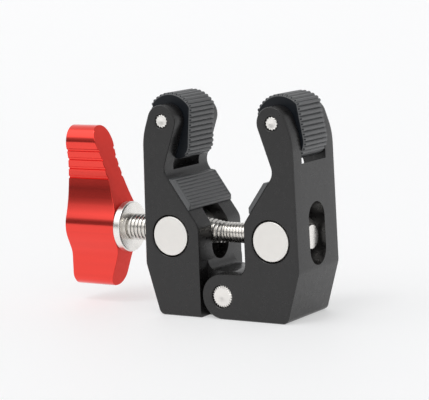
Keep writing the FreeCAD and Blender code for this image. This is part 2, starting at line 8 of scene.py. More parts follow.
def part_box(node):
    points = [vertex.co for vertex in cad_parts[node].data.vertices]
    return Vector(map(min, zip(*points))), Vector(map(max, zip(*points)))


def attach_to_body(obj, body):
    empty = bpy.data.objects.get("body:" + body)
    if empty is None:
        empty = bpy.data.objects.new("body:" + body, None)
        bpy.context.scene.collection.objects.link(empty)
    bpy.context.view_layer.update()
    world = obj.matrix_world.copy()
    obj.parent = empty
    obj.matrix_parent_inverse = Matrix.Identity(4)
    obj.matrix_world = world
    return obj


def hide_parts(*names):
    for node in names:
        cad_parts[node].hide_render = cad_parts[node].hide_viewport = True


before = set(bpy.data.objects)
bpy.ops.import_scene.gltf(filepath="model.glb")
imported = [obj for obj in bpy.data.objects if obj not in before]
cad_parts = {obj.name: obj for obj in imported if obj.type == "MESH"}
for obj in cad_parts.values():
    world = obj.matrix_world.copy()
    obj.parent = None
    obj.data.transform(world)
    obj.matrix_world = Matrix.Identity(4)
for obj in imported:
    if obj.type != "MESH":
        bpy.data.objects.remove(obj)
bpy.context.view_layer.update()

bl_info = {
    "name": "Screw clamp finish",
    "version": (1, 0, 0),
    "blender": (4, 5, 0),
    "location": "View3D > Sidebar > Clamp",
    "description": "Gives a two-jaw screw clamp its threads, knurls, soft edges and finishes",
    "category": "Object",
}

MM = 0.001


def middle(node):
    """Centre of a node's box."""
    low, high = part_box(node)
    return (Vector(low) + Vector(high)) / 2


def low_high(node, axis):
    """Lowest and highest reach of a node along an axis."""
    low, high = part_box(node)
    return low["XYZ".index(axis)], high["XYZ".index(axis)]


def half_reach(node, axis):
    """Half of a node's reach along an axis: its radius, where it is round."""
    low, high = low_high(node, axis)
    return (high - low) / 2


# The collar's middle, which lies on the screw's axis, and where that axis crosses X = 0
SCREW_AXIS = middle("collar")
SCREW_LINE = (0, SCREW_AXIS.y, SCREW_AXIS.z)


# Sizes and colours a user would change

def length(name, description, size):
    """A length, given in millimetres."""
    return FloatProperty(name=name, description=description, default=size * MM, unit="LENGTH")


def angle(name, description, degrees):
    """An angle, given in degrees."""
    return FloatProperty(
        name=name, description=description, default=math.radians(degrees), subtype="ANGLE")


def fraction(name, description, value):
    """A share of some other size."""
    return FloatProperty(name=name, description=description, default=value, subtype="FACTOR")


def number(name, description, value):
    """A value with no unit, such as a brightness."""
    return FloatProperty(name=name, description=description, default=value)


def whole(name, description, value):
    """A number of things."""
    return IntProperty(name=name, description=description, default=value)


def swatch(name, description, value):
    """A colour, in linear values."""
    return FloatVectorProperty(
        name=name, description=description, default=value, subtype="COLOR")


class ThreadSizes(bpy.types.PropertyGroup):
    """The screw and its two threads"""

    coarse_radius: length("Thick radius", "Radius over the thick thread", 4.0)
    fine_radius: length("Thin radius", "Radius over the thin thread", 3.0)
    run_radius: length("Run-down radius", "Radius of the thick thread where it ends", 3.05)
    shank_radius: length("Shank radius", "Radius of the plain shank in the handle", 3.5)
    neck_radius: length("Neck radius", "Radius of the plain stretch at the collar", 3.95)
    coarse_pitch: length("Coarse pitch", "Rise per turn of the thick thread", 1.25)
    fine_pitch: length("Fine pitch", "Rise per turn of the thin thread", 1.0)
    depth_share: fraction("Thread depth", "Depth of a thread as a share of its pitch", 0.55)
    coarse_reach: length("Thick end", "From the left barrel's middle to the thick thread's end", 12.2)
    run_down: length("Run down", "Stretch over which the thick thread thins to the other", 7.0)
    neck_length: length("Neck", "Plain stretch between the collar and the thread", 1.3)
    stop_length: length("Stop length", "Thickness of the stop's flange", 0.8)
    edge: length("Edge", "Radius at the rims of the plain stretches", 0.25)
    steps: whole("Steps", "Flat steps in one turn of a thread", 48)
    crease: angle("Crease", "Angle above which an edge of a thread stays sharp", 25)


class TurningSizes(bpy.types.PropertyGroup):
    """The barrels, the collar, the stop and the cap screw"""

    rim: length("Rim", "Radius at the outer rims of turned pieces", 0.25)
    edge: length("Edge", "Radius at the small edges of turned pieces", 0.1)
    end_drop: length("Barrel end", "How much thinner a barrel is at its ends", 0.24)
    end_length: length("Barrel end length", "Length of the thinner end of a barrel", 1.2)
    collar_bore: length("Collar bore", "Radius of the collar's hole", 3.55)
    fine_bore: length("Thin bore", "Radius of the right barrel's hole", 3.08)
    coarse_bore: length("Thick bore", "Radius of the left barrel's hole", 4.08)
    stud_radius: length("Stud", "Radius of the stud that holds the stop", 1.6)
    head_length: length("Head length", "Height of the cap screw's head", 3.0)
    cap_radius: length("Cap screw", "Radius of the cap screw's shank", 2.0)
    key_radius: length("Key corner", "Centre to corner of the hexagon socket", 1.73)
    key_depth: length("Key depth", "Depth of the hexagon socket", 1.6)


class PinSizes(bpy.types.PropertyGroup):
    """The knurled pins"""

    hinge_teeth: whole("Hinge pin teeth", "Knurl teeth round the hinge pin", 26)
    tip_teeth: whole("Tip pin teeth", "Knurl teeth round a tip pin", 13)
    tooth_steps: whole("Tooth steps", "Flat steps in one knurl tooth", 8)
    tooth_share: fraction("Tooth depth", "Depth of a tooth as a share of the radius", 0.13)
    dome_share: fraction("Flat end", "Radius of the flat middle of an end, as a share", 0.8)
    still_share: fraction("Still middle", "Share of the flat that the knurl doesn't shade", 0.93)
    dome_rise: fraction("Dome", "Rise of the end's dome as a share of the radius", 0.07)
    dimple_share: fraction("Dimple", "Radius of the dimple in an end, as a share", 0.12)
    gap: length("Gap", "Room left between the knurl and its hole", 0.06)
    rim: length("Rim", "Radius at the rim of a pin's end", 0.12)
    crease: angle("Crease", "Angle above which an edge of a pin stays sharp", 30)


class PadSizes(bpy.types.PropertyGroup):
    """The tip pads and the seat pads"""

    pad_half: length("Half depth", "From a tip pad's pin to its flank", 6.9)
    pad_crown: length("Crown", "Radius of a tip pad's domed top", 8.4)
    pad_drop: length("Crown drop", "From the pin down to the centre of the dome", 0.55)
    pad_foot: length("Foot", "From the pin down to a tip pad's foot", 11.2)
    toe_round: length("Toe", "Radius of the foot's inner corner", 3.9)
    heel_round: length("Heel", "Radius of the foot's outer corner", 5.3)
    shoulder_round: length("Shoulder", "Radius between a flank and the dome", 1.6)
    dome_steps: whole("Dome steps", "Flat steps over the domed top", 24)
    right_tilt: angle("Right lean", "Turn of the right tip pad about its pin", -10.3)
    left_tilt: angle("Left lean", "Turn of the left tip pad about its pin", 4.8)
    rib_pitch: length("Rib pitch", "From one rib to the next", 1.45)
    rib_depth: length("Rib depth", "Depth of the notch between ribs", 0.5)
    rib_power: number("Rib shape", "How flat a rib's back is before it falls to the notch", 2.6)
    rib_steps: whole("Rib steps", "Points along the outline for one rib", 8)
    smooth_foot: length("Smooth foot", "Height of the foot that has no ribs", 1.0)
    pad_border: length("Border", "From a side face to the full height of the ribs", 0.4)
    pad_rim: length("Rim", "Bevel at the edge of the side faces", 0.18)
    pin_bore: length("Pin bore", "Radius of a tip pad's hole", 2.06)
    seat_length: length("Seat length", "Length of a seat pad down its slope", 10.8)
    seat_height: length("Seat height", "Thickness of a seat pad", 1.45)
    seat_end: length("Seat end", "Bevel at both ends of a seat pad", 0.9)
    seat_bevel: length("Seat bevel", "Bevel along both sides of a seat pad", 0.6)
    seat_border: length("Seat border", "Plain width beside a seat pad's ribs", 0.95)
    seat_rise: length("Seat rib rise", "Width over which a seat pad's ribs reach full depth", 0.095)
    seat_angle: angle("Seat angle", "Slope of the seats", 54.5)
    seat_pitch: length("Seat rib pitch", "From one rib to the next on a seat pad", 1.12)
    seat_depth: length("Seat rib depth", "Depth of a seat pad's notches", 0.28)
    crease: angle("Crease", "Angle above which an edge of the ribs stays sharp", 50)
    side_facing: fraction("Smooth sides", "Least share of a normal across on a side face", 0.9)


class HandleSizes(bpy.types.PropertyGroup):
    """The red handle"""

    slant: angle("Slant", "Slope of the inner face above and below the screw", 18.5)
    slant_top: length("Slant top", "From the screw up to the start of the slope", 5.5)
    slant_foot: length("Slant foot", "From the screw down to the start of the slope", 6.0)
    groove_top: length("Top groove", "From the screw up to the highest finger groove", 23.2)
    groove_pitch: length("Groove pitch", "From one finger groove to the next", 2.73)
    groove_width: length("Groove width", "Width of a finger groove at its mouth", 0.9)
    groove_depth: length("Groove depth", "Depth of a finger groove", 0.42)
    grooves: whole("Grooves", "Finger grooves on a side", 4)
    steps: whole("Steps", "Flat steps in each curve of a side", 7)
    rim: length("Rim", "Bevel round both ends of the handle", 0.2)
    crease: angle("Crease", "Angle above which an edge of the handle stays sharp", 32)
    end_facing: fraction("Milled ends", "Least share of a normal along the screw on an end", 0.6)
    screw_bore: length("Screw bore", "Radius of the hole for the screw's shank", 3.55)
    cap_bore: length("Cap bore", "Radius of the recess for the cap screw's head", 3.7)


class EdgeSizes(bpy.types.PropertyGroup):
    """The jaws' softened edges"""

    jaw: length("Jaw edge", "Radius that softens the jaws' sharp edges", 0.2)
    hole: length("Hole edge", "Bevel at the mouths of the jaws' cross holes", 0.45)
    play: length("Hole play", "Most that a cross hole's radius differs from its pin's", 0.3)
    corner: angle("Sharp corner", "Angle above which a jaw's edge is softened", 55)


class Finishes(bpy.types.PropertyGroup):
    """The colours of the surfaces"""

    black: swatch("Black", "Blasted black anodised jaws", (0.0065, 0.006, 0.006))
    red: swatch("Red", "Red anodised handle", (0.9, 0.056, 0.04))
    steel: swatch("Steel", "Turned stainless steel", (0.95, 0.925, 0.885))
    rubber: swatch("Rubber", "Moulded rubber pads", (0.07, 0.072, 0.074))
    # The tip pads' side faces: a smoother, less glossy skin, darkened further as painted shade from the
    # fork ears beside them
    side_skin_and_shade: swatch("Dark rubber", "Smooth side faces of the tip pads", (0.006, 0.008, 0.011))
    floor: swatch("Floor", "Plain pale floor", (0.5, 0.502, 0.505))


# The photograph's width and its focal length, both in its own pixels
PHOTO_WIDTH = 429
PHOTO_FOCAL = 1900


class StageSizes(bpy.types.PropertyGroup):
    """The camera, the light and the studio round the clamp"""

    azimuth: angle("Azimuth", "Camera's angle round the clamp from its front", 32.22)
    elevation: angle("Elevation", "Camera's angle above the horizon", 8.12)
    roll: angle("Roll", "Camera's turn about its line of sight", -2.35)
    distance: length("Distance", "From the camera to the point it looks at", 555.8)
    focal_share: number(
        "Focal length", "Focal length as a share of the image width", PHOTO_FOCAL / PHOTO_WIDTH)
    target: FloatVectorProperty(
        name="Target", description="Point in the middle of the picture",
        default=(-21.58 * MM, 0, 32.64 * MM), subtype="TRANSLATION")
    sun_side: angle("Light side", "The top light's azimuth from the front", -10)
    sun_rise: angle("Light height", "The top light's elevation", 65)
    sun_strength: number("Light strength", "The top light's strength", 0.4)
    sun_width: angle("Light width", "How wide the top light looks, for soft shadows", 16)
    sky: number("Walls", "Brightness of the white studio round the clamp", 0.9)
    backdrop: number("Backdrop", "Brightness of the backdrop that the camera sees", 0.965)
    light_tint: swatch("Light colour", "Colour of the studio's light", (0.985, 0.99, 1.0))
    room_side: angle("Room side", "Azimuth of the dark stretch of the room", -32)
    room_core: angle("Room core", "Angle from its middle where the dark stretch starts to fade", 40)
    room_edge: angle("Room edge", "Angle from its middle where the dark stretch ends", 75)
    room_foot: number("Room foot", "Rise of the sight line over which the dark stretch starts", 0.03)
    room_top: angle("Room top", "Elevation where the dark stretch ends", 20)
    room_fade: fraction("Room fade", "Share of the top elevation where the fading starts", 0.6)
    room_dark: number("Room", "Brightness of the dark stretch", 0.2)
    back_wall: number("Back wall", "Brightness of the wall behind, as the clamp sees it", 0.5)
    wall_rise: angle("Back wall height", "Elevation of the back wall's middle", 48)
    wall_core: angle("Back wall core", "Angle from its middle where the back wall fades", 18)
    wall_edge: angle("Back wall edge", "Angle from its middle where the back wall ends", 42)
    ceiling: number("Ceiling", "Brightness straight overhead", 0.5)
    ceiling_foot: angle("Ceiling foot", "Elevation where the ceiling starts to darken", 50)
    ceiling_top: angle("Ceiling top", "Elevation where the ceiling is darkest", 82)
    box_side: angle("Soft box side", "Azimuth of the soft box", -25)
    box_rise: angle("Soft box height", "Elevation of the soft box", 50)
    box_width: angle("Soft box width", "Half of the angle that the soft box fills", 34)
    box_core: fraction("Soft box core", "Share of the soft box at full brightness", 0.8)
    box_bright: number("Soft box", "Brightness that the soft box adds", 0.6)
    floor_drop: length("Floor drop", "Room between the clamp's feet and the floor", 0.05)
    floor_size: number("Floor size", "Width of the floor in metres", 60.0)


# Materials

def set_inputs(node, **values):
    """Set some of a node's inputs, named with _ for a space."""
    for socket, value in values.items():
        node.inputs[socket.replace("_", " ")].default_value = value
    return node


def add_node(tree, kind, **values):
    """A new node of a kind, with some of its inputs set."""
    return set_inputs(tree.nodes.new("ShaderNode" + kind), **values)


def new_material(name, **values):
    """An empty material and its surface shader, with some of its inputs set."""
    material = bpy.data.materials.new(name)
    material.use_nodes = True
    shader = material.node_tree.nodes["Principled BSDF"]
    return material, set_inputs(shader, **values)


def laid_on_piece(pattern, **placing):
    """Lay a pattern on the piece's own coordinates, moved or stretched."""
    tree = pattern.id_data
    place = add_node(tree, "TexCoord")
    mapping = add_node(tree, "Mapping", **placing)
    tree.links.new(place.outputs["Object"], mapping.inputs["Vector"])
    tree.links.new(mapping.outputs["Vector"], pattern.inputs["Vector"])
    return pattern.outputs["Fac"]


def grain(shader, scale, detail=3.0, stretch=(1, 1, 1)):
    """Noise, fine along the axes that stretch makes large."""
    noise = add_node(shader.id_data, "TexNoise", Scale=scale, Detail=detail)
    return laid_on_piece(noise, Scale=stretch)


# Radians of the wave texture in a metre, at scale 1
WAVE_TURN = 20


def lathe_rings(shader, centre, axis, ring):
    """Rings about an axis, as a lathe tool leaves them, spaced by ring times a full turn."""
    scale = 1 / (WAVE_TURN * ring)
    rings = add_node(shader.id_data, "TexWave", Scale=scale, Distortion=0.6, Detail=2.0)
    rings.wave_type = "RINGS"
    rings.rings_direction = axis
    return laid_on_piece(rings, Location=-centre)


def spread(shader, source, low, high):
    """The noise's usual range stretched between two values."""
    tree = shader.id_data
    scale = add_node(tree, "MapRange", From_Min=0.3, From_Max=0.7, To_Min=low, To_Max=high)
    tree.links.new(source, scale.inputs["Value"])
    return scale.outputs["Result"]


def tint(shader, mask, colour, low, high):
    """Vary the surface's colour between two shares of it."""
    tree = shader.id_data
    mix = add_node(tree, "Mix")
    mix.data_type = "RGBA"
    for socket, part in (("A", low), ("B", high)):
        shade = [min(1.0, value * part) for value in colour]
        mix.inputs[socket].default_value = (*shade, 1)
    tree.links.new(mask, mix.inputs["Factor"])
    tree.links.new(mix.outputs["Result"], shader.inputs["Base Color"])


def roughen(shader, source, low, high):
    """Vary the surface's roughness between two values."""
    rough = spread(shader, source, low, high)
    shader.id_data.links.new(rough, shader.inputs["Roughness"])


def bump(shader, height, strength, distance):
    """Raise the surface's fine relief by a pattern, over a distance in millimetres."""
    tree = shader.id_data
    node = add_node(tree, "Bump", Strength=strength, Distance=distance * MM)
    tree.links.new(height, node.inputs["Height"])
    tree.links.new(node.outputs["Normal"], shader.inputs["Normal"])


def black_anodised(name, colour):
    """Blasted and anodised aluminium: a dark satin skin with a very fine grain."""
    material, shader = new_material(name, Specular_IOR_Level=0.6)
    tint(shader, grain(shader, 90), colour, 0.92, 1.1)
    roughen(shader, grain(shader, 700), 0.25, 0.35)
    bump(shader, grain(shader, 5200, detail=2.0), strength=0.22, distance=0.02)
    return material


def red_anodised(name, colour):
    """Anodised extrusion: glossy red metal with faint draw lines along the screw."""
    material, shader = new_material(name, Metallic=1.0, Coat_Weight=0.5, Coat_Roughness=0.14)
    lines = grain(shader, 900, detail=4.0, stretch=(0.012, 1, 1))
    tint(shader, spread(shader, lines, 0, 1), colour, 0.97, 1.03)
    roughen(shader, lines, 0.15, 0.21)
    bump(shader, lines, strength=0.03, distance=0.02)
    return material


def red_milled(name, colour):
    """The handle's milled and blasted ends: softer than its drawn sides."""
    material, shader = new_material(name, Metallic=0.85)
    tint(shader, grain(shader, 120), colour, 0.85, 1.0)
    roughen(shader, grain(shader, 900), 0.42, 0.52)
    bump(shader, grain(shader, 5200, detail=2.0), strength=0.2, distance=0.02)
    return material


def turned_steel(name, colour, centre, axis, roughness=0.3, ring=0.16 * MM):
    """Turned stainless steel: rings about an axis of the piece, and a brushed haze."""
    material, shader = new_material(name, Metallic=1.0)
    haze = grain(shader, 400)
    tint(shader, haze, colour, 0.93, 1.0)
    roughen(shader, haze, roughness - 0.05, roughness + 0.07)
    bump(shader, lathe_rings(shader, centre, axis, ring), strength=0.12, distance=0.01)
    return material


def rolled_steel(name, colour):
    """Rolled thread: bright steel, a little duller in patches."""
    material, shader = new_material(name, Metallic=1.0)
    haze = grain(shader, 500)
    tint(shader, haze, colour, 0.82, 1.0)
    roughen(shader, haze, 0.18, 0.3)
    bump(shader, grain(shader, 2500), strength=0.08, distance=0.01)
    return material


def pad_rubber(name, colour, gloss=0.8):
    """Moulded rubber with a fine skin and a slight bloom in patches."""
    material, shader = new_material(name, Specular_IOR_Level=gloss)
    tint(shader, grain(shader, 160), colour, 0.85, 1.2)
    roughen(shader, grain(shader, 800), 0.34, 0.46)
    bump(shader, grain(shader, 3000), strength=0.25, distance=0.03)
    return material


def plain_floor(name, colour):
    """Pale acrylic, lit a little from beneath."""
    material, shader = new_material(
        name, Emission_Color=(1, 1, 1, 1), Emission_Strength=0.45, Roughness=0.65)
    tint(shader, grain(shader, 6), colour, 0.995, 1.0)
    return material


# Modelling helpers

# How near points are merged, count as on a plane, or count as on a face
SAME = 0.001 * MM
ON_PLANE = 0.01 * MM
NEAR_FACE = 0.05 * MM
# How far apart a CAD mesh is merged, and how flat its dissolved edges are
CAD_SEAM = 0.002 * MM
CAD_FLAT = math.radians(0.6)
# Angle above which an edge stays sharp
CREASE = math.radians(50)
# Flat steps round bores, in arcs and round turned pieces
BORE_SIDES = 64
PIN_BORE_STEPS = 48
ARC_STEPS = 4
WALK_STEPS = 24
TURN_STEPS = 96
ROUND_STEPS = 128


def pick_only(piece):
    """Leave one object selected and active, in object mode."""
    if bpy.context.object and bpy.context.object.mode != "OBJECT":
        bpy.ops.object.mode_set(mode="OBJECT")
    bpy.ops.object.select_all(action="DESELECT")
    piece.select_set(True)
    bpy.context.view_layer.objects.active = piece


def name_new(name):
    """Name the object that an operator has just added."""
    piece = bpy.context.object
    piece.name = name
    piece.data.name = name
    return piece


def settle(piece):
    """Put the piece's place, turn and size into its mesh."""
    pick_only(piece)
    bpy.ops.object.transform_apply(location=True, rotation=True, scale=True)


def edit_all(piece):
    """Enter edit mode with the whole piece selected."""
    pick_only(piece)
    bpy.ops.object.mode_set(mode="EDIT")
    bpy.ops.mesh.select_all(action="SELECT")


def leave_edit():
    """Go back to object mode."""
    bpy.ops.object.mode_set(mode="OBJECT")


def apply(piece, modifier):
    """Put a modifier's result into the piece's mesh."""
    pick_only(piece)
    bpy.ops.object.modifier_apply(modifier=modifier.name)


def close_up(piece):
    """Merge what coincides and turn every face outwards."""
    edit_all(piece)
    bpy.ops.mesh.remove_doubles(threshold=SAME)
    bpy.ops.mesh.normals_make_consistent(inside=False)
    leave_edit()


def trim(piece, point, facing, keep_ahead=False):
    """Cut the piece off at a plane and cap it, keeping what lies behind it or ahead of it."""
    edit_all(piece)
    bpy.ops.mesh.bisect(
        plane_co=point, plane_no=facing, use_fill=True, clear_inner=keep_ahead,
        clear_outer=not keep_ahead)
    leave_edit()


def copy_of(node, name):
    """A merged copy of a CAD node, free to be shaped."""
    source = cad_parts[node]
    piece = source.copy()
    piece.data = source.data.copy()
    piece.name = name
    piece.data.name = name
    piece.parent = None
    for key in list(piece.keys()):
        del piece[key]
    piece.data.materials.clear()
    bpy.context.scene.collection.objects.link(piece)
    edit_all(piece)
    bpy.ops.mesh.customdata_custom_splitnormals_clear()
    bpy.ops.mesh.remove_doubles(threshold=CAD_SEAM)
    bpy.ops.mesh.dissolve_limited(angle_limit=CAD_FLAT)
    leave_edit()
    return piece


def soften(piece, width, corner):
    """Round the edges that are sharper than a corner."""
    bevel = piece.modifiers.new("edges", "BEVEL")
    bevel.width = width
    bevel.segments = 2
    bevel.limit_method = "ANGLE"
    bevel.angle_limit = corner
    bevel.use_clamp_overlap = True
    apply(piece, bevel)


def bevel_rim(piece, corners, width):
    """Bevel the edges between some of the piece's vertices."""
    select_edges(piece, corners)
    bpy.ops.mesh.bevel(offset=width, segments=2, clamp_overlap=True)
    leave_edit()


def soften_hole(piece, node, width, play):
    """Bevel the outer rims of the hole that a node sits in, found by the play round it."""
    centre, radius = middle(node), half_reach(node, "X")
    face = max(abs(vertex.co.y) for vertex in piece.data.vertices)
    rim = set()
    for vertex in piece.data.vertices:
        out = math.hypot(vertex.co.x - centre.x, vertex.co.z - centre.z)
        if abs(out - radius) < play and abs(vertex.co.y) > face - NEAR_FACE:
            rim.add(vertex.index)
    if rim:
        bevel_rim(piece, rim, width)


def round_by_normals(piece, corner=CREASE):
    """Shade the narrow bevels as round edges and keep the broad faces flat."""
    pick_only(piece)
    bpy.ops.object.shade_smooth_by_angle(angle=corner)
    weigh = piece.modifiers.new("normals", "WEIGHTED_NORMAL")
    weigh.mode = "FACE_AREA"
    weigh.weight = 100
    weigh.keep_sharp = True
    apply(piece, weigh)


def select_edges(piece, corners):
    """Select the edges between some of the piece's vertices, in edit mode."""
    pick_only(piece)
    bpy.ops.object.mode_set(mode="EDIT")
    bpy.ops.mesh.select_mode(type="EDGE")
    bpy.ops.mesh.select_all(action="DESELECT")
    leave_edit()
    for edge in piece.data.edges:
        edge.select = set(edge.vertices) <= corners
    bpy.ops.object.mode_set(mode="EDIT")


def chain(name, points, closed):
    """A line of edges through points, from a circle primitive with as many corners."""
    bpy.ops.object.select_all(action="DESELECT")
    bpy.ops.mesh.primitive_circle_add(vertices=len(points), radius=1 * MM, fill_type="NOTHING")
    piece = name_new(name)
    settle(piece)
    for vertex, point in zip(piece.data.vertices, points):
        vertex.co = point
    if not closed:
        select_edges(piece, {0, len(points) - 1})
        bpy.ops.mesh.delete(type="EDGE")
        leave_edit()
    return piece


def rounded(corners, steps=ARC_STEPS):
    """The outline through corners (along, out, radius), with an arc at each radius."""
    points = []
    for i, (along, out, radius) in enumerate(corners):
        here = Vector((along, out))
        if not radius:
            points.append(here)
            continue
        before = (Vector(corners[i - 1][:2]) - here).normalized()
        after = (Vector(corners[(i + 1) % len(corners)][:2]) - here).normalized()
        half = before.angle(after) / 2
        centre = here + (before + after).normalized() * radius / math.sin(half)
        first = here + before * radius / math.tan(half) - centre
        last = here + after * radius / math.tan(half) - centre
        turn = first.angle_signed(last)
        for step in range(steps + 1):
            arm = Matrix.Rotation(-turn * step / steps, 2) @ first
            points.append(centre + arm)
    return points


def skin(name, rings):
    """A closed skin over rings of points, bridged one to the next and capped."""
    count = len(rings[0])
    piece = join([chain("ring", ring, True) for ring in rings], name)
    for first in range(len(rings) - 1):
        select_edges(piece, set(range(first * count, (first + 2) * count)))
        bpy.ops.mesh.bridge_edge_loops()
        leave_edit()
    for first in (0, len(rings) - 1):
        select_edges(piece, set(range(first * count, (first + 1) * count)))
        bpy.ops.mesh.edge_face_add()
        leave_edit()
    close_up(piece)
    return piece


def wind(piece, axis, steps, turn=math.tau, rise=0.0, times=1):
    """Wind the piece's outline round an axis, with a rise at each turn for a thread."""
    spin = piece.modifiers.new("spin", "SCREW")
    spin.axis = axis
    spin.angle = turn
    spin.screw_offset = rise
    spin.iterations = times
    spin.steps = steps
    spin.render_steps = steps
    spin.use_merge_vertices = True
    spin.merge_threshold = SAME
    apply(piece, spin)


def turned(name, corners, centre=SCREW_LINE, axis="X", steps=TURN_STEPS, closed=False):
    """A turned piece: an outline of (along, out, radius) corners spun about an axis."""
    points = []
    for along, out in rounded(corners):
        points.append((along, 0, out) if axis == "X" else (0, along, out))
    piece = chain(name, points, closed)
    wind(piece, axis, steps)
    piece.data.transform(Matrix.Translation(centre))
    close_up(piece)
    return piece


def cut_away(piece, tool):
    """Cut one piece out of another, and delete the cutter."""
    cut = piece.modifiers.new("cut", "BOOLEAN")
    cut.operation = "DIFFERENCE"
    cut.solver = "EXACT"
    cut.object = tool
    apply(piece, cut)
    bpy.data.objects.remove(tool)


def bore(piece, start, end, radius, sides=BORE_SIDES):
    """Bore the piece along the screw's axis, round or with a few flat sides."""
    bpy.ops.object.select_all(action="DESELECT")
    bpy.ops.mesh.primitive_cylinder_add(
        vertices=sides, radius=radius, depth=end - start,
        location=((start + end) / 2, SCREW_AXIS.y, SCREW_AXIS.z), rotation=(0, math.pi / 2, 0))
    tool = name_new("bore")
    settle(tool)
    cut_away(piece, tool)


def join(pieces, name):
    """Make one piece of several."""
    pick_only(pieces[0])
    for piece in pieces[1:]:
        piece.select_set(True)
    bpy.ops.object.join()
    return name_new(name)


def paint(piece, material):
    """Give the whole piece one material."""
    piece.data.materials.clear()
    piece.data.materials.append(material)


def paint_ends(piece, material, axis, limit):
    """Give the faces that look along an axis, by a share of their normal, another material."""
    piece.data.materials.append(material)
    for face in piece.data.polygons:
        face.material_index = int(abs(face.normal["XYZ".index(axis)]) > limit)


def attach(piece, node, body):
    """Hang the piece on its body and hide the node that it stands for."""
    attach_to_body(piece, body)
    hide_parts(node)


def finish(piece, node, body, material, corner=CREASE):
    """Shade, paint and attach a piece."""
    round_by_normals(piece, corner)
    paint(piece, material)
    attach(piece, node, body)


# Pieces

class CLAMP_OT_jaws(bpy.types.Operator):
    """Both jaws, with softened edges and a blasted black skin"""
    bl_idname = "clamp.jaws"
    bl_label = "Jaws"

    def execute(self, context):
        edges = context.scene.clamp_edges
        black = black_anodised("black_skin", context.scene.clamp_finishes.black)
        for side, body in (("right", "fixed_side"), ("left", "swinging_side")):
            piece = copy_of(side + "_jaw", side + "_jaw_forging")
            for node in (side + "_barrel", "hinge_pin"):
                soften_hole(piece, node, edges.hole, edges.play)
            soften(piece, edges.jaw, edges.corner)
            finish(piece, side + "_jaw", body, black)
        return {"FINISHED"}


# Half thickness of the handle at heights above the screw, and the corner's radius, in mm
HANDLE_SIDE = (
    (0.0, 30.5, 0), (2.6, 30.5, 4.0), (4.2, 27.6, 6.0), (4.62, 25.6, 5.0), (4.5, 24.4, 5.0),
    (3.8, 21.0, 10.0), (3.8, 11.2, 46.0), (7.75, -0.4, 9.0), (4.05, -8.3, 6.0),
    (4.05, -18.4, 3.7), (0.0, -18.4, 0),
)


def grooved(side, sizes):
    """The side's outline, from the top down, with the finger grooves let into it."""
    half, quarter = sizes.groove_width / 2, sizes.groove_width / 4
    middles = [sizes.groove_top - i * sizes.groove_pitch for i in range(sizes.grooves)]
    points = [side[0]]
    for before, after in zip(side, side[1:]):
        for centre in middles:
            for rise, depth in ((half, 0), (quarter, 1), (-quarter, 1), (-half, 0)):
                up = centre + rise
                if after.y < up <= before.y:
                    part = (before.y - up) / (before.y - after.y)
                    out = before.x + (after.x - before.x) * part
                    points.append(Vector((out - depth * sizes.groove_depth, up)))
        if all(abs(after.y - centre) > sizes.groove_width * 3 / 4 for centre in middles):
            points.append(after)
    return points


def handle_bar(end, face, sizes):
    """The handle's bar between two ends, its outer end bevelled, before it is trimmed."""
    corners = [[value * MM for value in corner] for corner in HANDLE_SIDE]
    side = grooved(rounded(corners, sizes.steps), sizes)
    outline = [(-spot.x, spot.y) for spot in side]
    outline += [(spot.x, spot.y) for spot in reversed(side[1:-1])]
    rings = []
    for x, shrink in ((end, sizes.rim), (end + sizes.rim, 0), (face + sizes.rim, 0)):
        ring = []
        for y, up in outline:
            part = 1 - shrink / max(abs(y), abs(up))
            ring.append((x, y * part, SCREW_AXIS.z + up * part))
        rings.append(ring)
    return skin("handle_bar", rings)


def slope_face(piece, face, sizes):
    """Trim the handle to its inner face, sloped above and below the screw, with a bevelled rim."""
    lean = Vector((math.cos(sizes.slant), 0, math.sin(sizes.slant)))
    top, foot = sizes.slant_top, -sizes.slant_foot
    trim(piece, (face, 0, SCREW_AXIS.z), (1, 0, 0))
    trim(piece, (face, 0, SCREW_AXIS.z + top), lean)
    trim(piece, (face, 0, SCREW_AXIS.z + foot), (lean.x, 0, -lean.z))
    close_up(piece)
    rim = set()
    for vertex in piece.data.vertices:
        up = vertex.co.z - SCREW_AXIS.z
        slope = face - max(0, up - top, foot - up) * math.tan(sizes.slant)
        if abs(vertex.co.x - slope) < ON_PLANE:
            rim.add(vertex.index)
    bevel_rim(piece, rim, sizes.rim)


class CLAMP_OT_handle(bpy.types.Operator):
    """The red handle: grooved sides, sloped inner face, rims and bores"""
    bl_idname = "clamp.handle"
    bl_label = "Handle"

    def execute(self, context):
        scene = context.scene
        sizes = scene.clamp_handle
        end, face = low_high("handle", "X")
        piece = handle_bar(end, face, sizes)
        slope_face(piece, face, sizes)
        head, tail = low_high("handle_screw", "X")
        seat = head + scene.clamp_turning.head_length
        bore(piece, low_high("spindle", "X")[0], face + sizes.rim, sizes.screw_bore)
        bore(piece, end - sizes.rim, seat, sizes.cap_bore)
        bore(piece, seat - sizes.rim, tail, scene.clamp_turning.cap_radius)
        colour = scene.clamp_finishes.red
        drawn, milled = red_anodised("red_drawn", colour), red_milled("red_milled", colour)
        finish(piece, "handle", "screw", drawn, sizes.crease)
        paint_ends(piece, milled, "X", sizes.end_facing)
        return {"FINISHED"}


# One thread tooth: share of the pitch along it, and share of the depth below its crest
TOOTH = ((0.0, 1.0), (0.38, 0.0), (0.56, 0.0), (0.94, 1.0), (1.0, 1.0))


def thread(name, start, end, radius, pitch, hand, sizes):
    """A screw thread along X: one tooth wound round the axis, then cut off square."""
    depth = sizes.depth_share * pitch
    points = [((along - 1) * pitch + start, 0, radius - drop * depth) for along, drop in TOOTH]
    piece = chain(name, points, False)
    times = math.ceil((end - start) / pitch) + 2
    wind(piece, "X", sizes.steps, math.tau * hand, pitch, times)
    trim(piece, (start, 0, 0), (1, 0, 0), keep_ahead=True)
    trim(piece, (end, 0, 0), (1, 0, 0))
    close_up(piece)
    piece.data.transform(Matrix.Translation(SCREW_LINE))
    bpy.ops.object.shade_smooth_by_angle(angle=sizes.crease)
    return piece


